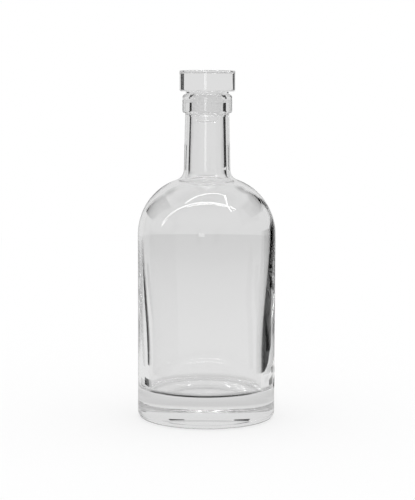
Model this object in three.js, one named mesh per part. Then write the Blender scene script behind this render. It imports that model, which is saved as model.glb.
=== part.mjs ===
// A round clear-glass decanter with a thick base, a domed shoulder and a straight neck. A dished
// glass stopper stands in its mouth on a clear soft seal. Millimetres, +Z up, origin on the axis
// in the plane of the ring that the decanter stands on.
import * as THREE from "three";

// Bottle, outside
const BODY_RADIUS = 46.5;
const SIDE_TOP = 124.6; // height where the straight side turns into the shoulder
const HEEL_ROUND = 4;
const SHOULDER_ROUND = 39;
const NECK_FILLET = 7;
const NECK_ROOT_RADIUS = 15.6;
const NECK_TOP_RADIUS = 14.8;
const NECK_LENGTH = 38.2; // from the fillet on the shoulder to the underside of the lip
const LIP_RADIUS = 16.7;
const LIP_HEIGHT = 12.5;
const LIP_TOP_ROUND = 2.3;
const LIP_UNDER_ROUND = 1.1;

// Bottle, underside
const BEARING_RING_WIDTH = 5.5;
const PUSH_UP_DEPTH = 3.5;

// Bottle, inside
const FLOOR_THICKNESS = 20;
const FLOOR_CORNER_ROUND = 3.5;
const FLOOR_CROWN = 2; // rise of the cavity's floor from its edge to its middle
const LOW_WALL = 7.95; // glass thickness beside the floor
const LOW_WALL_HEIGHT = 14.5; // above the rounded corner, before the wall starts to thin
const SHOULDER_WALL = 3.1;
const NECK_BORE_ROOT_RADIUS = 11.6;
const NECK_BORE_TOP_RADIUS = 10.8;
const NECK_BORE_ROUND = 10.5; // where the bore opens into the shoulder
const MOUTH_BORE_RADIUS = 10.5;
const MOUTH_BORE_DEPTH = 13;
const MOUTH_BORE_EASE = 2; // height of the cone between the mouth's bore and the neck's
const MOUTH_EDGE_ROUND = 0.8;

// Stopper
const HEAD_RADIUS = 18.7;
const HEAD_HEIGHT = 13.8;
const HEAD_UNDER_ROUND = 1.2;
const HEAD_TOP_ROUND = 0.7;
const DISH_RIM_WIDTH = 3;
const DISH_DEPTH = 2.2;
const DISH_ROUND = 1.4;
const SHANK_LENGTH = 20.7; // below the head
const SHANK_CLEARANCE = 2.85; // room for the seal between the shank and the mouth's bore
const SHANK_END_ROUND = 2.3;

// Seal
const FLANGE_RADIUS = 14.5;
const FLANGE_THICKNESS = 1.4;
const SLEEVE_CLEARANCE = 0.9; // between the sleeve and the mouth's bore, away from the fin
const SLEEVE_LENGTH = 12.6; // below the lip, down to the tapered end
const SLEEVE_TAPER_HEIGHT = 1.3;
const SLEEVE_TAPER_WIDTH = 0.8;
const FIN_DEPTH = 3; // below the lip, down to the top of the fin
const FIN_HEIGHT = 2.9;

// Clearance at each face where two pieces meet
const FIT_GAP = 0.2;

// Flat sides that stand for round ones
const SIDES = 48;
const SHOULDER_STEPS = 13;
const WALL_STEPS = 7;
const ROUND_STEPS = 5;
const SMALL_ROUND_STEPS = 3;
const CROWN_STEPS = 6;

// Heights and radii that follow from the sizes above
const shoulderCentre = new THREE.Vector2(BODY_RADIUS - SHOULDER_ROUND, SIDE_TOP);
const neckFilletCentre = filletCentre(SHOULDER_ROUND, NECK_ROOT_RADIUS, NECK_FILLET);
const innerShoulderRound = SHOULDER_ROUND - SHOULDER_WALL;
const neckBoreCentre = filletCentre(innerShoulderRound, NECK_BORE_ROOT_RADIUS, NECK_BORE_ROUND);
const lipBottom = neckFilletCentre.y + NECK_LENGTH;
const lipTop = lipBottom + LIP_HEIGHT;
const flangeBottom = lipTop + FIT_GAP;
const flangeTop = flangeBottom + FLANGE_THICKNESS;
const headBottom = flangeTop + FIT_GAP;
const headTop = headBottom + HEAD_HEIGHT;
const shankRadius = MOUTH_BORE_RADIUS - SHANK_CLEARANCE;
const shankBottom = headBottom - SHANK_LENGTH;

// The centre of the round that joins the shoulder's arc, of a given radius, to an upright line
// at neckRadius.
function filletCentre(shoulderRadius, neckRadius, filletRadius) {
  const across = neckRadius + filletRadius - shoulderCentre.x;
  const up = Math.sqrt((shoulderRadius + filletRadius) ** 2 - across ** 2);
  return new THREE.Vector2(neckRadius + filletRadius, shoulderCentre.y + up);
}

// The direction from the shoulder's centre to a fillet's centre, in degrees: the two arcs meet
// on that line.
function meetingAngle(centre) {
  return THREE.MathUtils.radToDeg(centre.clone().sub(shoulderCentre).angle());
}

// One point of a section: its distance from the axis and its height.
function point(radius, height) {
  return new THREE.Vector2(radius, height);
}

// An arc of a section, with angles in degrees from the outward direction.
function arc(centre, radius, from, to, steps) {
  return Array.from({ length: steps + 1 }, (_, i) => {
    const angle = THREE.MathUtils.degToRad(from + ((to - from) * i) / steps);
    return point(centre.x + radius * Math.cos(angle), centre.y + radius * Math.sin(angle));
  });
}

// A closed body turned about +Z from a section that runs anticlockwise round its material.
function turned(...stretches) {
  const outline = [];
  for (const next of stretches.flat()) {
    const last = outline.at(-1);
    if (!last || last.distanceTo(next) > 1e-6) outline.push(next);
  }
  return new THREE.LatheGeometry(outline, SIDES).rotateX(Math.PI / 2);
}

// The ring that the decanter stands on, and the shallow dome inside it.
function underside() {
  const ringInside = BODY_RADIUS - HEEL_ROUND - BEARING_RING_WIDTH;
  const domeRadius = (ringInside ** 2 + PUSH_UP_DEPTH ** 2) / (2 * PUSH_UP_DEPTH);
  const edgeAngle = THREE.MathUtils.radToDeg(Math.acos(ringInside / domeRadius));
  const centre = point(0, PUSH_UP_DEPTH - domeRadius);
  const dome = arc(centre, domeRadius, 90, edgeAngle, ROUND_STEPS);
  dome[0].set(0, PUSH_UP_DEPTH);
  dome[ROUND_STEPS].set(ringInside, 0);
  return dome;
}

// Heel, straight side, shoulder and neck.
function outside() {
  const angle = meetingAngle(neckFilletCentre);
  return [
    arc(point(BODY_RADIUS - HEEL_ROUND, HEEL_ROUND), HEEL_ROUND, -90, 0, ROUND_STEPS),
    arc(shoulderCentre, SHOULDER_ROUND, 0, angle, SHOULDER_STEPS),
    arc(neckFilletCentre, NECK_FILLET, angle + 180, 180, ROUND_STEPS),
    point(NECK_TOP_RADIUS, lipBottom),
  ].flat();
}

// The ring at the mouth.
function lip() {
  const under = point(LIP_RADIUS - LIP_UNDER_ROUND, lipBottom + LIP_UNDER_ROUND);
  const top = point(LIP_RADIUS - LIP_TOP_ROUND, lipTop - LIP_TOP_ROUND);
  const edge = point(MOUTH_BORE_RADIUS + MOUTH_EDGE_ROUND, lipTop - MOUTH_EDGE_ROUND);
  return [
    arc(under, LIP_UNDER_ROUND, -90, 0, SMALL_ROUND_STEPS),
    arc(top, LIP_TOP_ROUND, 0, 90, ROUND_STEPS),
    arc(edge, MOUTH_EDGE_ROUND, 90, 180, SMALL_ROUND_STEPS),
  ].flat();
}

// The bore of the mouth and of the neck, and the inside of the shoulder.
function bore() {
  const angle = meetingAngle(neckBoreCentre);
  return [
    point(MOUTH_BORE_RADIUS, lipTop - MOUTH_BORE_DEPTH),
    point(NECK_BORE_TOP_RADIUS, lipTop - MOUTH_BORE_DEPTH - MOUTH_BORE_EASE),
    arc(neckBoreCentre, NECK_BORE_ROUND, 180, angle + 180, ROUND_STEPS),
    arc(shoulderCentre, innerShoulderRound, angle, 0, SHOULDER_STEPS),
  ].flat();
}

// The cavity's floor from its edge to the axis, level at both and higher in the middle.
function crownedFloor(edge) {
  return Array.from({ length: CROWN_STEPS + 1 }, (_, i) => {
    const share = 1 - i / CROWN_STEPS;
    return point(edge * share, FLOOR_THICKNESS + FLOOR_CROWN * (1 - share ** 2) ** 2);
  });
}

// The inside of the wall, thickening downwards, then the rounded corner and the floor.
function cavity() {
  const corner = point(BODY_RADIUS - LOW_WALL - FLOOR_CORNER_ROUND, FLOOR_THICKNESS + FLOOR_CORNER_ROUND);
  const thinStart = corner.y + LOW_WALL_HEIGHT;
  const wall = Array.from({ length: WALL_STEPS + 1 }, (_, i) => {
    const height = THREE.MathUtils.lerp(SIDE_TOP, thinStart, i / WALL_STEPS);
    const share = THREE.MathUtils.smoothstep(height, thinStart, SIDE_TOP);
    return point(BODY_RADIUS - THREE.MathUtils.lerp(LOW_WALL, SHOULDER_WALL, share), height);
  });
  return [
    wall,
    arc(corner, FLOOR_CORNER_ROUND, 0, -90, ROUND_STEPS),
    crownedFloor(corner.x),
  ].flat();
}

// Bottle: one piece of glass.
function bottleGeometry() {
  return turned(underside(), outside(), lip(), bore(), cavity());
}

// Stopper: one piece of glass, a dished disc on a plain shank with a rounded end.
function stopperGeometry() {
  const dishRadius = HEAD_RADIUS - DISH_RIM_WIDTH;
  const shankEnd = point(shankRadius - SHANK_END_ROUND, shankBottom + SHANK_END_ROUND);
  const under = point(HEAD_RADIUS - HEAD_UNDER_ROUND, headBottom + HEAD_UNDER_ROUND);
  const top = point(HEAD_RADIUS - HEAD_TOP_ROUND, headTop - HEAD_TOP_ROUND);
  const dish = point(dishRadius - DISH_ROUND, headTop - DISH_DEPTH + DISH_ROUND);
  return turned(
    point(0, shankBottom),
    arc(shankEnd, SHANK_END_ROUND, -90, 0, ROUND_STEPS),
    point(shankRadius, headBottom),
    arc(under, HEAD_UNDER_ROUND, -90, 0, SMALL_ROUND_STEPS),
    arc(top, HEAD_TOP_ROUND, 0, 90, SMALL_ROUND_STEPS),
    point(dishRadius, headTop),
    arc(dish, DISH_ROUND, 0, -90, SMALL_ROUND_STEPS),
    point(0, headTop - DISH_DEPTH),
  );
}

// Seal: a flange between the lip and the stopper's head, and a sleeve round the shank with one
// fin that bears on the bore.
function sealGeometry() {
  const inside = shankRadius + FIT_GAP;
  const sleeve = MOUTH_BORE_RADIUS - SLEEVE_CLEARANCE;
  const fin = MOUTH_BORE_RADIUS - FIT_GAP;
  const taperTop = lipTop - SLEEVE_LENGTH;
  const finTop = lipTop - FIN_DEPTH;
  const section = [
    point(inside, taperTop - SLEEVE_TAPER_HEIGHT),
    point(sleeve - SLEEVE_TAPER_WIDTH, taperTop - SLEEVE_TAPER_HEIGHT),
    point(sleeve, taperTop),
    point(sleeve, finTop - FIN_HEIGHT),
    point(fin, finTop - FIN_HEIGHT),
    point(fin, finTop),
    point(sleeve, finTop),
    point(sleeve, flangeBottom),
    point(FLANGE_RADIUS, flangeBottom),
    point(FLANGE_RADIUS, flangeTop),
    point(inside, flangeTop),
  ];
  return turned(section, section[0]);
}

// Clear glass, colourless with a faint grey cast.
function clearGlass() {
  return new THREE.MeshStandardMaterial({
    color: 0xdfe2e2,
    roughness: 0.03,
    metalness: 0,
    transparent: true,
    opacity: 0.35,
  });
}

// Clear soft plastic, a little duller than the glass.
function clearPolymer() {
  return new THREE.MeshStandardMaterial({
    color: 0xe4e5e3,
    roughness: 0.2,
    metalness: 0,
    transparent: true,
    opacity: 0.45,
  });
}

function piece(name, geometry, material) {
  const mesh = new THREE.Mesh(geometry, material);
  mesh.name = name;
  return mesh;
}

const decanter = new THREE.Group();
decanter.add(
  piece("bottle", bottleGeometry(), clearGlass()),
  piece("stopper", stopperGeometry(), clearGlass()),
  piece("stopper_seal", sealGeometry(), clearPolymer()),
);

export default decanter;
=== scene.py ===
"""A round clear-glass decanter with its dished glass stopper and clear seal, on a pale floor."""
import math

import bpy
import numpy as np
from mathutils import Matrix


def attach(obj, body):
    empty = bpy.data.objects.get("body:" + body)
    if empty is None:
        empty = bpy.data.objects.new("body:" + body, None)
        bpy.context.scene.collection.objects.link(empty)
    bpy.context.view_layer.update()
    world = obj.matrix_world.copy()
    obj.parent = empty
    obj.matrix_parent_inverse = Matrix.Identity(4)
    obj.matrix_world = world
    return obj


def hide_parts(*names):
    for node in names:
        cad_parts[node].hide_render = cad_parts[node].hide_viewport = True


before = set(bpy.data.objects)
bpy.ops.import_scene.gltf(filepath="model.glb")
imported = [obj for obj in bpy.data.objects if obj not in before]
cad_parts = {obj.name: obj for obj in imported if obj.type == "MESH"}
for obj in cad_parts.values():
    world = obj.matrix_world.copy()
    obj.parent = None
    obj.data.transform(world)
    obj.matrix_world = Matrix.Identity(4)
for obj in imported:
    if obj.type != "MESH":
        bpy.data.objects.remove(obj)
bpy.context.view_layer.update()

# Sizes of the object in millimetres, turned to metres where a mesh is made
MM = 0.001

# Bottle, outside
BODY_RADIUS = 46.5
SIDE_TOP = 124.6
HEEL_ROUND = 4.0
SHOULDER_ROUND = 39.0
NECK_FILLET = 7.0
NECK_ROOT_RADIUS = 15.6
NECK_TOP_RADIUS = 14.8
NECK_LENGTH = 38.2
LIP_RADIUS = 16.7
LIP_HEIGHT = 12.5
LIP_TOP_ROUND = 2.3
LIP_UNDER_ROUND = 1.1
LIP_UNDER_FILLET = 0.6

# Bottle, underside
BEARING_RING_WIDTH = 5.5
PUSH_UP_DEPTH = 3.5
DASHES = 107
DASH_HEIGHT = 0.3
DASH_LENGTH = 3.4
DASH_END = 0.5            # the dash fades from this far before its end to as far past it
DASH_ZONE = 0.5           # dashes are only in what lies lower than this

# Bottle, inside
FLOOR_THICKNESS = 20.0
FLOOR_CORNER_ROUND = 3.5
FLOOR_CROWN = 2.0
LOW_WALL = 7.95
LOW_WALL_HEIGHT = 14.5
SHOULDER_WALL = 3.1
NECK_BORE_ROOT_RADIUS = 11.6
NECK_BORE_TOP_RADIUS = 10.8
NECK_BORE_ROUND = 10.5
MOUTH_BORE_RADIUS = 10.5
MOUTH_BORE_DEPTH = 13.0
MOUTH_BORE_EASE = 2.0
MOUTH_BORE_ROUND = 1.5    # at both ends of the cone between the mouth's bore and the neck's
MOUTH_EDGE_ROUND = 0.8

# How far the cavity stands off the outside's axis: low down, high up, and gone at the neck
DRIFT_LOW = 0.5
DRIFT_LOW_HEIGHT = 20.0
DRIFT_HIGH = 0.3
DRIFT_HIGH_HEIGHT = 120.0
DRIFT_FADE_START = 130.0
DRIFT_FADE_END = 165.0
CAVITY_MARGIN = 1.0       # a sample this near to the cavity's radius is on the cavity
FLOOR_MARGIN = 0.5

# Stopper
HEAD_RADIUS = 18.7
HEAD_HEIGHT = 13.8
HEAD_UNDER_ROUND = 1.2
HEAD_TOP_ROUND = 0.7
DISH_RIM_WIDTH = 3.0
DISH_EDGE_ROUND = 0.5
DISH_DEPTH = 2.2
DISH_ROUND = 1.4
SHANK_LENGTH = 20.7
SHANK_CLEARANCE = 2.85
SHANK_ROOT_ROUND = 0.3
SHANK_END_ROUND = 2.3

# Seal
FLANGE_RADIUS = 14.5
FLANGE_THICKNESS = 1.4
FLANGE_ROUND = 0.3
SLEEVE_CLEARANCE = 0.9
SLEEVE_LENGTH = 12.6
SLEEVE_TAPER_HEIGHT = 1.3
SLEEVE_TAPER_WIDTH = 0.8
SLEEVE_ROUND = 0.2
FIN_DEPTH = 3.0
FIN_HEIGHT = 2.9
FIT_GAP = 0.2
PRESS = 0.02              # the seal is drawn this far into the shank and the bore

# Mesh fineness: lines in millimetres, arcs in degrees
SEGMENTS = 321
LINE_STEP = 4.0
RING_LINE_STEP = 0.5
SIDE_LINE_STEP = 20.0
SMALL_ARC_STEP = 9.0
DOME_ARC_STEP = 0.6
HEEL_ARC_STEP = 6.0
SHOULDER_ARC_STEP = 2.5
FILLET_ARC_STEP = 5.0
BORE_ARC_STEP = 4.0
FLOOR_ARC_STEP = 4.0
WALL_STEPS = 30
CROWN_STEPS = 30
TOUCH = 1e-6              # points nearer than this are one point
NUDGE = 1e-3              # step along a section for a slope
TWIST = 1e-4              # step round the axis for a slope, in radians

# Camera: distance and height in metres, angles in degrees, focal length and columns in pixels
FRAME_WIDTH = 415
FRAME_HEIGHT = 500
CAMERA_DISTANCE = 0.9952
CAMERA_HEIGHT = 0.2135
CAMERA_PITCH = 5.722
CAMERA_ROLL = 0.23
AXIS_COLUMN = 207.3
FOCAL = 1478
SENSOR = 36.0
CLIP_START = 0.01
CLIP_END = 20.0


# Sections
# A section is a list of stretches. A stretch is a list of samples (r, z, tr, tz): a point in
# millimetres and the unit direction in which the section runs there.

def line(start, end, step=LINE_STEP):
    dr, dz = end[0] - start[0], end[1] - start[1]
    length = math.hypot(dr, dz)
    count = max(1, math.ceil(length / step))
    return [
        (start[0] + dr * i / count, start[1] + dz * i / count, dr / length, dz / length)
        for i in range(count + 1)
    ]


def arc(centre, radius, start, end, step=SMALL_ARC_STEP):
    """Angles in degrees from the outward direction, +90 is up."""
    count = max(2, math.ceil(abs(end - start) / step))
    way = 1.0 if end > start else -1.0
    samples = []
    for i in range(count + 1):
        a = math.radians(start + (end - start) * i / count)
        samples.append((
            centre[0] + radius * math.cos(a), centre[1] + radius * math.sin(a),
            -way * math.sin(a), way * math.cos(a),
        ))
    return samples


def falling_curve(radius_at, top, bottom, count):
    """A stretch from top to bottom whose radius is a smooth function of its height."""
    samples = []
    for i in range(count + 1):
        z = top + (bottom - top) * i / count
        slope = (radius_at(z + NUDGE) - radius_at(z - NUDGE)) / (2 * NUDGE)
        size = math.hypot(slope, 1.0)
        samples.append((radius_at(z), z, -slope / size, -1.0 / size))
    return samples


def crown(edge, low, rise, count):
    """The cavity floor from its edge to the axis, level at both and higher in the middle."""
    samples = []
    for i in range(count + 1):
        share = 1.0 - i / count
        fall = 1.0 - share ** 2
        slope = 4.0 * rise / edge * share * fall
        size = math.hypot(slope, 1.0)
        samples.append((edge * share, low + rise * fall ** 2, -1.0 / size, slope / size))
    return samples


def unit(vector):
    return vector / np.linalg.norm(vector)


def corner_arc(before, corner, after):
    """The arc that rounds one corner (r, z, round) between its neighbours, with its two ends."""
    here, radius = np.array(corner[:2]), corner[2]
    into = unit(here - np.array(before[:2]))
    out = unit(np.array(after[:2]) - here)
    turn = math.acos(float(into @ out))
    trim = radius * math.tan(turn / 2)
    start, end = here - into * trim, here + out * trim
    side = 1.0 if into[0] * out[1] - into[1] * out[0] > 0 else -1.0
    centre = start + side * radius * np.array((-into[1], into[0]))
    first = math.degrees(math.atan2(*(start - centre)[::-1]))
    return arc(centre, radius, first, first + side * math.degrees(turn)), tuple(start), tuple(end)


def rounded(corners):
    """Stretches along straight lines between corners (r, z, round)."""
    stretches = []
    last = corners[0][:2]
    for before, corner, after in zip(corners, corners[1:], corners[2:]):
        bend, start, end = corner_arc(before, corner, after)
        stretches += [line(last, start), bend]
        last = end
    stretches.append(line(last, corners[-1][:2]))
    return stretches


def fillet_centre(shoulder_round, neck_radius, fillet):
    """Centre of the fillet between a shoulder of that round and a neck of that radius."""
    across = neck_radius + fillet - shoulder_centre[0]
    up = math.sqrt((shoulder_round + fillet) ** 2 - across ** 2)
    return neck_radius + fillet, SIDE_TOP + up


def meeting_angle(centre):
    """The shoulder's angle where the fillet with that centre meets it."""
    return math.degrees(math.atan2(centre[1] - SIDE_TOP, centre[0] - shoulder_centre[0]))


# Places that follow from the sizes above
shoulder_centre = (BODY_RADIUS - SHOULDER_ROUND, SIDE_TOP)
neck_fillet_centre = fillet_centre(SHOULDER_ROUND, NECK_ROOT_RADIUS, NECK_FILLET)
inner_shoulder_round = SHOULDER_ROUND - SHOULDER_WALL
neck_bore_centre = fillet_centre(inner_shoulder_round, NECK_BORE_ROOT_RADIUS, NECK_BORE_ROUND)
lip_bottom = neck_fillet_centre[1] + NECK_LENGTH
lip_top = lip_bottom + LIP_HEIGHT
head_bottom = lip_top + FLANGE_THICKNESS + 2 * FIT_GAP
head_top = head_bottom + HEAD_HEIGHT
shank_radius = MOUTH_BORE_RADIUS - SHANK_CLEARANCE
shank_bottom = head_bottom - SHANK_LENGTH
thin_start = FLOOR_THICKNESS + FLOOR_CORNER_ROUND + LOW_WALL_HEIGHT


def smooth_step(x, low, high):
    t = np.clip((x - low) / (high - low), 0.0, 1.0)
    return t * t * (3.0 - 2.0 * t)


def inner_radius(z):
    """The cavity's radius below the shoulder, where the wall thins from low to high."""
    share = float(smooth_step(z, thin_start, SIDE_TOP))
    return BODY_RADIUS - (LOW_WALL + (SHOULDER_WALL - LOW_WALL) * share)


def underside():
    """The shallow dome from the axis outward, and the flat ring on which the bottle stands."""
    ring_inside = BODY_RADIUS - HEEL_ROUND - BEARING_RING_WIDTH
    dome_radius = (ring_inside ** 2 + PUSH_UP_DEPTH ** 2) / (2 * PUSH_UP_DEPTH)
    edge_angle = math.degrees(math.acos(ring_inside / dome_radius))
    return [
        arc((0, PUSH_UP_DEPTH - dome_radius), dome_radius, 90, edge_angle, DOME_ARC_STEP),
        line((ring_inside, 0), (BODY_RADIUS - HEEL_ROUND, 0), RING_LINE_STEP),
    ]


def outside():
    """Heel, side, shoulder and the fillet at the neck's root."""
    meeting = meeting_angle(neck_fillet_centre)
    return [
        arc((BODY_RADIUS - HEEL_ROUND, HEEL_ROUND), HEEL_ROUND, -90, 0, HEEL_ARC_STEP),
        line((BODY_RADIUS, HEEL_ROUND), (BODY_RADIUS, SIDE_TOP), SIDE_LINE_STEP),
        arc(shoulder_centre, SHOULDER_ROUND, 0, meeting, SHOULDER_ARC_STEP),
        arc(neck_fillet_centre, NECK_FILLET, meeting + 180, 180, FILLET_ARC_STEP),
    ]


def neck_and_mouth():
    """Up the neck, over the ring at the mouth and down the bore."""
    bore_step = lip_top - MOUTH_BORE_DEPTH
    return rounded([
        (NECK_ROOT_RADIUS, neck_fillet_centre[1], 0),
        (NECK_TOP_RADIUS, lip_bottom, LIP_UNDER_FILLET),
        (LIP_RADIUS, lip_bottom, LIP_UNDER_ROUND),
        (LIP_RADIUS, lip_top, LIP_TOP_ROUND),
        (MOUTH_BORE_RADIUS, lip_top, MOUTH_EDGE_ROUND),
        (MOUTH_BORE_RADIUS, bore_step, MOUTH_BORE_ROUND),
        (NECK_BORE_TOP_RADIUS, bore_step - MOUTH_BORE_EASE, MOUTH_BORE_ROUND),
        (NECK_BORE_ROOT_RADIUS, neck_bore_centre[1], 0),
    ])


def cavity():
    """From the neck's bore over the inner shoulder and down the wall to the floor's middle."""
    meeting = meeting_angle(neck_bore_centre)
    corner = (BODY_RADIUS - LOW_WALL - FLOOR_CORNER_ROUND, FLOOR_THICKNESS + FLOOR_CORNER_ROUND)
    return [
        arc(neck_bore_centre, NECK_BORE_ROUND, 180, meeting + 180, BORE_ARC_STEP),
        arc(shoulder_centre, inner_shoulder_round, meeting, 0, SHOULDER_ARC_STEP),
        falling_curve(inner_radius, SIDE_TOP, corner[1], WALL_STEPS),
        arc(corner, FLOOR_CORNER_ROUND, 0, -90, FLOOR_ARC_STEP),
        crown(corner[0], FLOOR_THICKNESS, FLOOR_CROWN, CROWN_STEPS),
    ]


def bottle_section():
    return underside() + outside() + neck_and_mouth() + cavity()


def stopper_section():
    dish_radius = HEAD_RADIUS - DISH_RIM_WIDTH
    return rounded([
        (0, shank_bottom, 0),
        (shank_radius, shank_bottom, SHANK_END_ROUND),
        (shank_radius, head_bottom, SHANK_ROOT_ROUND),
        (HEAD_RADIUS, head_bottom, HEAD_UNDER_ROUND),
        (HEAD_RADIUS, head_top, HEAD_TOP_ROUND),
        (dish_radius, head_top, DISH_EDGE_ROUND),
        (dish_radius, head_top - DISH_DEPTH, DISH_ROUND),
        (0, head_top - DISH_DEPTH, 0),
    ])


def seal_section():
    """The sleeve is drawn a hair into the shank, and the fin into the bore, as where they press."""
    inside = shank_radius - PRESS
    sleeve = MOUTH_BORE_RADIUS - SLEEVE_CLEARANCE
    fin = MOUTH_BORE_RADIUS + PRESS
    taper_top = lip_top - SLEEVE_LENGTH
    taper_end = taper_top - SLEEVE_TAPER_HEIGHT
    fin_top = lip_top - FIN_DEPTH
    return rounded([
        ((inside + sleeve) / 2, taper_end, 0),
        (sleeve - SLEEVE_TAPER_WIDTH, taper_end, SLEEVE_ROUND),
        (sleeve, taper_top, SLEEVE_ROUND),
        (sleeve, fin_top - FIN_HEIGHT, SLEEVE_ROUND),
        (fin, fin_top - FIN_HEIGHT, SLEEVE_ROUND),
        (fin, fin_top, SLEEVE_ROUND),
        (sleeve, fin_top, SLEEVE_ROUND),
        (sleeve, lip_top + FIT_GAP, SLEEVE_ROUND),
        (FLANGE_RADIUS, lip_top + FIT_GAP, FLANGE_ROUND),
        (FLANGE_RADIUS, head_bottom - FIT_GAP, FLANGE_ROUND),
        (inside, head_bottom - FIT_GAP, FLANGE_ROUND),
        (inside, taper_end, SLEEVE_ROUND),
        ((inside + sleeve) / 2, taper_end, 0),
    ])


# Shapes laid over a turned section
# Each takes radius, height and angle as arrays and gives x, y and z, all in millimetres.

def plain(r, z, angle):
    return r * np.cos(angle), r * np.sin(angle), z


def bottle_shape(r, z, angle):
    """The cavity stands a little off the outside's axis, and the bearing ring has pressed dashes."""
    x, y, height = plain(r, z, angle)
    return x - cavity_drift(r, z), y, height + dash_lift(r, z, angle)


def cavity_drift(r, z):
    share = smooth_step(z, DRIFT_LOW_HEIGHT, DRIFT_HIGH_HEIGHT)
    drift = DRIFT_LOW + (DRIFT_HIGH - DRIFT_LOW) * share
    drift = drift * (1.0 - smooth_step(z, DRIFT_FADE_START, DRIFT_FADE_END))
    return np.where(is_cavity(r, z), drift, 0.0)


def is_cavity(r, z):
    """True for samples on the bottle's inner wall: closer to it than to the outer one."""
    reach = np.vectorize(cavity_radius)(z) + CAVITY_MARGIN
    return (r < reach) & (z > FLOOR_THICKNESS - FLOOR_MARGIN)


def cavity_radius(z):
    if z > neck_bore_centre[1]:
        return NECK_BORE_ROOT_RADIUS
    if z > SIDE_TOP:
        reach = inner_shoulder_round ** 2 - (z - SIDE_TOP) ** 2
        return max(NECK_BORE_ROOT_RADIUS, shoulder_centre[0] + math.sqrt(max(0.0, reach)))
    return inner_radius(z)


def dash_lift(r, z, angle):
    """How far the hollows between the bearing ring's dashes stand off the floor."""
    middle = BODY_RADIUS - HEEL_ROUND - BEARING_RING_WIDTH / 2
    end = DASH_LENGTH / 2
    across = 1.0 - smooth_step(np.abs(r - middle), end - DASH_END, end + DASH_END)
    ridge = 0.5 + 0.5 * np.cos(DASHES * angle)
    return np.where(z < DASH_ZONE, across * (1.0 - ridge) * DASH_HEIGHT, 0.0)


# Turned meshes

def joined(section):
    """The section's points as one row, and its spans (place in the row, low and high sample)."""
    points, spans = [section[0][0][:2]], []
    for stretch in section:
        if math.dist(points[-1], stretch[0][:2]) > TOUCH:
            raise ValueError("the section has a gap")
        for low, high in zip(stretch, stretch[1:]):
            spans.append((len(points) - 1, low, high))
            points.append(high[:2])
    if math.dist(points[0], points[-1]) < TOUCH:
        points.pop()
    return points, spans


def on_axis(r):
    return r < TOUCH


def ring_vertices(points, angles, shape):
    """Vertices in metres, a ring for each point and one for a point on the axis, and the place
    where each ring starts."""
    vertices, starts = [], []
    for r, z in points:
        turns = angles[:1] if on_axis(r) else angles
        x, y, height = shape(np.full(len(turns), r), np.full(len(turns), z), turns)
        starts.append(len(vertices))
        vertices += list(zip(x * MM, y * MM, height * MM))
    return vertices, starts


def ring_faces(spans, starts, angles, shape):
    """Faces from each ring to the next, and the surface direction at each corner of each face."""
    faces, normals = [], []
    for place, low, high in spans:
        a, b = starts[place], starts[(place + 1) % len(starts)]
        low_n, high_n = (surface_normals(sample, angles, shape) for sample in (low, high))
        for j in range(len(angles)):
            k = (j + 1) % len(angles)
            if on_axis(low[0]):
                faces.append((a, b + k, b + j))
                normals += [low_n[j], high_n[k], high_n[j]]
            elif on_axis(high[0]):
                faces.append((a + j, a + k, b))
                normals += [low_n[j], low_n[k], high_n[j]]
            else:
                faces.append((a + j, a + k, b + k, b + j))
                normals += [low_n[j], low_n[k], high_n[k], high_n[j]]
    return faces, normals


def surface_normals(sample, angles, shape):
    """Outward unit normals at one sample of a section, all round."""
    r, z, tr, tz = sample
    if on_axis(r):
        up = 1.0 if tr < 0 else -1.0
        return np.tile((0.0, 0.0, up), (len(angles), 1))
    full = np.full(len(angles), 1.0)
    ahead = np.stack(shape(full * (r + NUDGE * tr), full * (z + NUDGE * tz), angles), axis=1)
    behind = np.stack(shape(full * (r - NUDGE * tr), full * (z - NUDGE * tz), angles), axis=1)
    left = np.stack(shape(full * r, full * z, angles + TWIST), axis=1)
    right = np.stack(shape(full * r, full * z, angles - TWIST), axis=1)
    n = np.cross(left - right, ahead - behind)
    return n / np.linalg.norm(n, axis=1, keepdims=True)


def new_object(name, vertices, faces, material):
    mesh = bpy.data.meshes.new(name)
    mesh.from_pydata(vertices, [], faces)
    mesh.materials.append(material)
    made = bpy.data.objects.new(name, mesh)
    bpy.context.scene.collection.objects.link(made)
    return made


def turned(name, section, shape, material):
    """A closed mesh turned about Z, smooth-shaded with the section's own directions."""
    points, spans = joined(section)
    angles = np.arange(SEGMENTS) * (2.0 * math.pi / SEGMENTS)
    vertices, starts = ring_vertices(points, angles, shape)
    faces, normals = ring_faces(spans, starts, angles, shape)
    piece = new_object(name, vertices, faces, material)
    piece.data.polygons.foreach_set("use_smooth", [True] * len(faces))
    piece.data.normals_split_custom_set([tuple(map(float, n)) for n in normals])
    piece.data.update()
    return piece


# Materials

GLASS_TONE = 0.962
GLASS_ROUGHNESS = 0.0
GLASS_IOR = 1.52
SEAL_TONE = 0.95
SEAL_ROUGHNESS = 0.03
SEAL_IOR = 1.5
DENSITY = 0.3             # light falls to 1/e over 1 metre divided by this
RIPPLE_SCALE = 45.0       # ripples per metre
RIPPLE_DETAIL = 1.5
RIPPLE_HEIGHT = 0.01      # in millimetres


def grey(tone):
    return tone, tone, tone, 1.0


def new_material(name):
    material = bpy.data.materials.new(name)
    material.use_nodes = True
    material.node_tree.nodes.clear()
    return material, material.node_tree


def new_node(tree, kind, values=()):
    """A node of a kind, with values as pairs of socket and value."""
    made = tree.nodes.new(kind)
    for socket, value in values:
        made.inputs[socket].default_value = value
    return made


def math_node(tree, operation, values=()):
    made = new_node(tree, "ShaderNodeMath", values)
    made.operation = operation
    return made


def mixed(tree, share, first, second):
    """The first shader where the share is 0, and the second where it is 1."""
    mix = tree.nodes.new("ShaderNodeMixShader")
    tree.links.new(share, mix.inputs["Fac"])
    tree.links.new(first, mix.inputs[1])
    tree.links.new(second, mix.inputs[2])
    return mix.outputs["Shader"]


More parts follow.
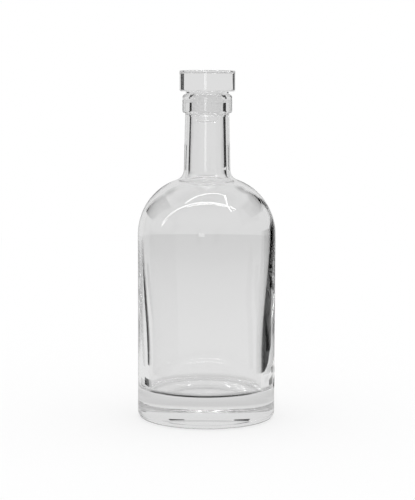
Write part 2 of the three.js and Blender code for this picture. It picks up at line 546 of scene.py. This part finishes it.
def clear_material(name, tone, roughness, ior):
    """A clear solid, greyer where it is thick, with a faint ripple on its surface."""
    material, tree = new_material(name)
    output = new_node(tree, "ShaderNodeOutputMaterial")
    shader = new_node(tree, "ShaderNodeBsdfPrincipled", [
        ("Base Color", grey(tone)), ("Roughness", roughness), ("IOR", ior), ("Transmission Weight", 1.0),
    ])
    depth = new_node(tree, "ShaderNodeVolumeAbsorption", [("Color", grey(0.0)), ("Density", DENSITY)])
    place = new_node(tree, "ShaderNodeTexCoord")
    noise = new_node(tree, "ShaderNodeTexNoise", [("Scale", RIPPLE_SCALE), ("Detail", RIPPLE_DETAIL)])
    bump = new_node(tree, "ShaderNodeBump", [("Strength", 1.0), ("Distance", RIPPLE_HEIGHT * MM)])
    tree.links.new(place.outputs["Object"], noise.inputs["Vector"])
    tree.links.new(noise.outputs["Fac"], bump.inputs["Height"])
    tree.links.new(bump.outputs["Normal"], shader.inputs["Normal"])
    tree.links.new(shader.outputs["BSDF"], output.inputs["Surface"])
    tree.links.new(depth.outputs["Volume"], output.inputs["Volume"])
    return material


# Stage, in metres

GLASS_BOUNCES = 128

# Floor and world: the floor's tones are (distance from the axis, tone), as seen in the glass. They are
# painted shadow under the base and in a ring round it, and painted light that is brightest a little way
# out and fades farther off
FLOOR_RADIUS = 1.3
FLOOR_SIDES = 128
FLOOR_DROP = 0.0003
FLOOR_ALBEDO = 0.8
FLOOR_GLOW = 0.7
FLOOR_LIGHT_AND_SHADOW = [
    (0.0, 0.75), (0.02, 0.45), (0.04, 0.38), (0.05, 0.85), (0.057, 0.62), (0.075, 0.64),
    (0.09, 0.70), (0.15, 0.81), (0.27, 0.80), (0.45, 0.75), (0.68, 0.70), (1.2, 0.665),
]
PALE_WORLD = 0.76

# Cards beside the object, each with the outlines of its foot and its top, or of its left and right
# edge, as (bearing, height) points. Bearings are in degrees, clockwise from straight behind.
CARD_RADIUS = 0.1
FAR_CARD_RADIUS = 0.2
BACK_CARD_GLOW = 0.3
NECK_CARD_FOOT = 0.168
HEAD_CARD_FOOT = 0.215
HEAD_CARD_TOP = 0.25
NEAR_CARDS = {
    "card_right": (
        [(25, 0.014), (42, 0.016), (43, 0.0285), (50, 0.027), (55, 0.0245),
         (60, 0.023), (65, 0.0215), (70, 0.02), (92, 0.021)],
        [(25, 0.02), (42, 0.02), (43, 0.148), (50, 0.142), (55, 0.138),
         (60, 0.136), (65, 0.134), (70, 0.132), (92, 0.132)],
    ),
    "card_right_top": ([(37, 0.148), (49, 0.142)], [(41, NECK_CARD_FOOT), (51, 0.165)]),
    "card_right_neck": (
        [(45, NECK_CARD_FOOT), (74, NECK_CARD_FOOT), (112, NECK_CARD_FOOT)],
        [(46, HEAD_CARD_FOOT), (76, HEAD_CARD_FOOT), (112, HEAD_CARD_FOOT)],
    ),
    "card_right_head": (
        [(37, HEAD_CARD_FOOT), (57, HEAD_CARD_FOOT)],
        [(36, HEAD_CARD_TOP), (57, HEAD_CARD_TOP)],
    ),
    "card_right_foot": ([(33, 0.005), (52, 0.005)], [(33, 0.014), (52, 0.012)]),
    "card_left": (
        [(279.5, 0.025), (280.5, 0.0325), (283.5, 0.045), (287, 0.055), (288, 0.07),
         (289, 0.09), (293, 0.115)],
        [(286.5, 0.025), (289.5, 0.0325), (293.5, 0.045), (297, 0.055), (298.5, 0.07),
         (298.5, 0.09), (295, 0.115)],
    ),
    "card_left_inner": (
        [(262, 0.028), (264, 0.045), (269, 0.055), (273, 0.07), (276, 0.09)],
        [(272, 0.028), (273, 0.045), (278, 0.055), (283, 0.07), (283, 0.09)],
    ),
    "card_left_neck": (
        [(270, 0.155), (262, 0.17), (250, HEAD_CARD_FOOT)],
        [(307, 0.155), (306, 0.17), (303, HEAD_CARD_FOOT)],
    ),
    "card_left_head": (
        [(297, HEAD_CARD_FOOT), (297, HEAD_CARD_TOP)],
        [(310, HEAD_CARD_FOOT), (320, HEAD_CARD_TOP)],
    ),
    "card_left_foot": ([(276, 0.01), (297, 0.01)], [(276, 0.0155), (297, 0.0155)]),
}
FAR_CARDS = {
    "card_back_left": ([(8, 0.1), (16, 0.1)], [(8, 0.18), (16, 0.18)]),
    "card_back_right": ([(339, 0.1), (349, 0.1)], [(339, 0.18), (349, 0.18)]),
}

# Painted shadow: a dark half moon on the floor under the front of the base, seen only in the glass; its
# chord is nearest to the back at its middle
UNDER_SHADOW_RADIUS = 0.0455
UNDER_SHADOW_EDGE = 0.009
UNDER_SHADOW_BEND = 0.014
UNDER_SHADOW_DROP = 0.0001
UNDER_SHADOW_STEPS = 24

# Long lights, which face a point on the axis
STRIP_AIM = (0.0, 0.0, 0.15)
STRIP_GLOW = 9.0
SHEEN_GLOW = 3.8
OVER_PATH = [(-2.4, -0.22, 0.71), (0.54, -0.22, 0.71)]
OVER_WIDTH = 0.035
FRONT_PATH = [(-0.15, -1.0, 0.16), (-0.15, -1.0, 0.26)]
FRONT_WIDTH = 0.17
LOOP_PATH = [
    (-0.40, -0.19, 0.83), (-0.28, -0.11, 0.90), (-0.12, -0.03, 0.94), (0.0, 0.02, 0.95),
    (0.10, 0.05, 0.945), (0.20, 0.06, 0.925), (0.28, 0.04, 0.90), (0.33, -0.10, 0.88),
    (0.39, -0.26, 0.82), (0.48, -0.36, 0.71),
]
LOOP_WIDTH = 0.035
RING_CENTRE = (0.0, 0.47, 0.75)
RING_HALF_WIDTH = 0.075
RING_HALF_LENGTH = 0.21
RING_LEAN = -39           # degrees from level
RING_STEPS = 24
RING_WIDTH = 0.05


def seen_in_glass(tree, light):
    """1 for light that glass has mirrored or bent, 0 for the rest."""
    either = math_node(tree, "MAXIMUM")
    tree.links.new(light.outputs["Is Glossy Ray"], either.inputs[0])
    tree.links.new(light.outputs["Is Transmission Ray"], either.inputs[1])
    return either.outputs["Value"]


def painted_floor_shading(tree):
    """A glow in grey tones by distance from the axis: painted shadow under and round the base, and
    painted light that fades away from it.
    """
    place = new_node(tree, "ShaderNodeTexCoord")
    length = new_node(tree, "ShaderNodeVectorMath")
    length.operation = "LENGTH"
    share = math_node(tree, "DIVIDE", [(1, FLOOR_RADIUS)])
    ramp = new_node(tree, "ShaderNodeValToRGB")
    stops = ramp.color_ramp.elements
    while len(stops) < len(FLOOR_LIGHT_AND_SHADOW):
        stops.new(1.0)
    for stop, (distance, tone) in zip(stops, FLOOR_LIGHT_AND_SHADOW):
        stop.position = distance / FLOOR_RADIUS
        stop.color = grey(tone)
    glow = new_node(tree, "ShaderNodeEmission")
    tree.links.new(place.outputs["Object"], length.inputs[0])
    tree.links.new(length.outputs["Value"], share.inputs[0])
    tree.links.new(share.outputs["Value"], ramp.inputs["Fac"])
    tree.links.new(ramp.outputs["Color"], glow.inputs["Color"])
    return glow.outputs["Emission"]


def floor_material():
    """White with the object's shadow to the camera, and painted shadow and light in grey tones in the
    glass.
    """
    material, tree = new_material("floor")
    output = new_node(tree, "ShaderNodeOutputMaterial")
    light = new_node(tree, "ShaderNodeLightPath")
    diffuse = new_node(tree, "ShaderNodeBsdfDiffuse", [("Color", grey(FLOOR_ALBEDO))])
    glow = new_node(tree, "ShaderNodeEmission")
    plain_floor = new_node(tree, "ShaderNodeMixShader", [("Fac", FLOOR_GLOW)])
    tree.links.new(diffuse.outputs["BSDF"], plain_floor.inputs[1])
    tree.links.new(glow.outputs["Emission"], plain_floor.inputs[2])
    # In the glass the floor shows its painted shadow and light, not its lit colour
    shown = mixed(tree, seen_in_glass(tree, light), plain_floor.outputs["Shader"], painted_floor_shading(tree))
    tree.links.new(shown, output.inputs["Surface"])
    return material


def make_floor():
    turns = [2 * math.pi * i / FLOOR_SIDES for i in range(FLOOR_SIDES)]
    ring = [(FLOOR_RADIUS * math.cos(a), FLOOR_RADIUS * math.sin(a), -FLOOR_DROP) for a in turns]
    floor = new_object("floor", ring, [tuple(range(FLOOR_SIDES))], floor_material())


def make_world():
    """White to the camera, pale in the glass, soft white light on the rest."""
    world = bpy.data.worlds.new("studio")
    bpy.context.scene.world = world
    world.use_nodes = True
    tree = world.node_tree
    tree.nodes.clear()
    output = new_node(tree, "ShaderNodeOutputWorld")
    light = new_node(tree, "ShaderNodeLightPath")
    lit = new_node(tree, "ShaderNodeBackground", [
        ("Color", grey(1.0)), ("Strength", 1.0 / FLOOR_ALBEDO),
    ])
    pale = new_node(tree, "ShaderNodeBackground", [("Color", grey(PALE_WORLD))])
    white = new_node(tree, "ShaderNodeBackground", [("Color", grey(1.0))])
    unseen = mixed(
        tree, seen_in_glass(tree, light), lit.outputs["Background"], pale.outputs["Background"],
    )
    shown = mixed(tree, light.outputs["Is Camera Ray"], unseen, white.outputs["Background"])
    tree.links.new(shown, output.inputs["Surface"])


def lamp_material(name, strength):
    material, tree = new_material(name)
    output = new_node(tree, "ShaderNodeOutputMaterial")
    glow = new_node(tree, "ShaderNodeEmission", [("Strength", strength)])
    tree.links.new(glow.outputs["Emission"], output.inputs["Surface"])
    return material


def counted_material(name, count, fewest, most, strength):
    """A light, or black at strength 0, for light whose count on its way lies between two values,
    and clear for the rest. Light mirrored on the outside has crossed glass 0 times, and light seen
    in a thick wall once or twice."""
    material, tree = new_material(name)
    output = new_node(tree, "ShaderNodeOutputMaterial")
    light = new_node(tree, "ShaderNodeLightPath")
    middle = (fewest + most) / 2
    fits = math_node(tree, "COMPARE", [(1, middle), (2, most - middle + 0.5)])
    clear = new_node(tree, "ShaderNodeBsdfTransparent")
    glow = new_node(tree, "ShaderNodeEmission", [("Strength", strength)])
    tree.links.new(light.outputs[count], fits.inputs[0])
    shown = mixed(tree, fits.outputs["Value"], clear.outputs["BSDF"], glow.outputs["Emission"])
    tree.links.new(shown, output.inputs["Surface"])
    return material


def folded_card(name, foot, top, material):
    """A card between two rows of points, seen in the glass, not by the camera, with no shadow."""
    count = len(foot)
    faces = [(i, i + 1, count + i + 1, count + i) for i in range(count - 1)]
    card = new_object(name, [*foot, *top], faces, material)
    card.visible_camera = False
    card.visible_diffuse = False
    card.visible_shadow = False
    card.visible_volume_scatter = False


def edge_cards(turn, material):
    """Cards that darken the thick walls at the object's two sides, as the photo's surroundings do.
    The whole set is turned round the object by an angle in degrees."""
    for radius, cards in ((CARD_RADIUS, NEAR_CARDS), (FAR_CARD_RADIUS, FAR_CARDS)):
        for name, outlines in cards.items():
            foot, top = (
                [spot(radius, bearing + turn, height) for bearing, height in outline]
                for outline in outlines
            )
            folded_card("%s_%d" % (name, turn), foot, top, material)


def spot(radius, bearing, height):
    a = math.radians(bearing)
    return radius * math.sin(a), radius * math.cos(a), height


def front_shadow_card(material):
    """A painted shadow: a dark half moon on the floor under the front of the base."""
    reach = math.acos((UNDER_SHADOW_BEND - UNDER_SHADOW_EDGE) / UNDER_SHADOW_RADIUS)
    rim, chord = [], []
    for i in range(-UNDER_SHADOW_STEPS, UNDER_SHADOW_STEPS + 1):
        a = reach * i / UNDER_SHADOW_STEPS
        x = UNDER_SHADOW_RADIUS * math.sin(a)
        rim.append((x, -UNDER_SHADOW_RADIUS * math.cos(a), -UNDER_SHADOW_DROP))
        chord.append((x, UNDER_SHADOW_EDGE - UNDER_SHADOW_BEND * math.sin(a) ** 2, -UNDER_SHADOW_DROP))
    folded_card("shadow_under_base", rim, chord, material)


def strip(name, path, width, material):
    """A long flat light along a path of points, turned to face the object."""
    points = [np.array(p) for p in path]
    left, right = [], []
    for i, point in enumerate(points):
        along = points[min(i + 1, len(points) - 1)] - points[max(i - 1, 0)]
        side = unit(np.cross(along, np.array(STRIP_AIM) - point)) * width / 2
        left.append(tuple(point - side))
        right.append(tuple(point + side))
    folded_card(name, left, right, material)


def ring_path():
    """A closed leaning oval of points, as wide along X."""
    lean = math.radians(RING_LEAN)
    x, y, z = RING_CENTRE
    path = []
    for i in range(RING_STEPS + 1):
        t = 2.0 * math.pi * i / RING_STEPS
        reach = RING_HALF_LENGTH * math.cos(t)
        path.append((
            x + RING_HALF_WIDTH * math.sin(t), y + reach * math.cos(lean), z + reach * math.sin(lean),
        ))
    return path


def strips():
    """Long lights: two bent ones and a ring over the shoulder, and one in front of the neck."""
    lamp = lamp_material("strip_light", STRIP_GLOW)
    gloss = counted_material("gloss_light", "Transmission Depth", 0, 0, STRIP_GLOW)
    sheen = counted_material("sheen_light", "Transmission Depth", 0, 0, SHEEN_GLOW)
    strip("strip_over", OVER_PATH, OVER_WIDTH, lamp)
    strip("strip_front", FRONT_PATH, FRONT_WIDTH, sheen)
    strip("strip_loop", LOOP_PATH, LOOP_WIDTH, gloss)
    strip("strip_ring", ring_path(), RING_WIDTH, gloss)


def make_stage():
    make_world()
    make_floor()
    edge_cards(0, counted_material("edge_card", "Transmission Depth", 0, 2, 0.0))
    edge_cards(180, counted_material("back_edge_card", "Transmission Depth", 1, 2, BACK_CARD_GLOW))
    # A painted shadow under the front of the base, seen only after the glass has mirrored light
    front_shadow_card(counted_material("under_shadow_card", "Glossy Depth", 1, GLASS_BOUNCES, 0.0))
    strips()


# Camera

def make_camera():
    data = bpy.data.cameras.new("camera")
    camera = bpy.data.objects.new("camera", data)
    bpy.context.scene.collection.objects.link(camera)
    yaw = math.atan((FRAME_WIDTH / 2 - AXIS_COLUMN) / FOCAL)
    data.sensor_width = SENSOR
    data.lens = FOCAL * SENSOR / FRAME_HEIGHT
    data.clip_start = CLIP_START
    data.clip_end = CLIP_END
    camera.location = (0.0, -CAMERA_DISTANCE, CAMERA_HEIGHT)
    camera.rotation_mode = "XYZ"
    camera.rotation_euler = (math.radians(90 - CAMERA_PITCH), math.radians(-CAMERA_ROLL), -yaw)
    bpy.context.scene.camera = camera


# The object

def make_piece(name, cad_node, section, shape, material):
    piece = turned(name, section, shape, material)
    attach(piece, "root")
    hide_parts(cad_node)


def make_bottle():
    material = clear_material("bottle_glass", GLASS_TONE, GLASS_ROUGHNESS, GLASS_IOR)
    make_piece("bottle_glass", "bottle", bottle_section(), bottle_shape, material)


def make_stopper():
    material = clear_material("stopper_glass", GLASS_TONE, GLASS_ROUGHNESS, GLASS_IOR)
    make_piece("stopper_glass", "stopper", stopper_section(), plain, material)


def make_seal():
    material = clear_material("seal_polymer", SEAL_TONE, SEAL_ROUGHNESS, SEAL_IOR)
    make_piece("seal_ring", "stopper_seal", seal_section(), plain, material)


make_camera()
make_bottle()
make_stopper()
make_seal()
make_stage()

scene = bpy.context.scene
scene.view_settings.view_transform = "Standard"
scene.cycles.max_bounces = GLASS_BOUNCES
scene.cycles.transmission_bounces = GLASS_BOUNCES
scene.cycles.glossy_bounces = GLASS_BOUNCES
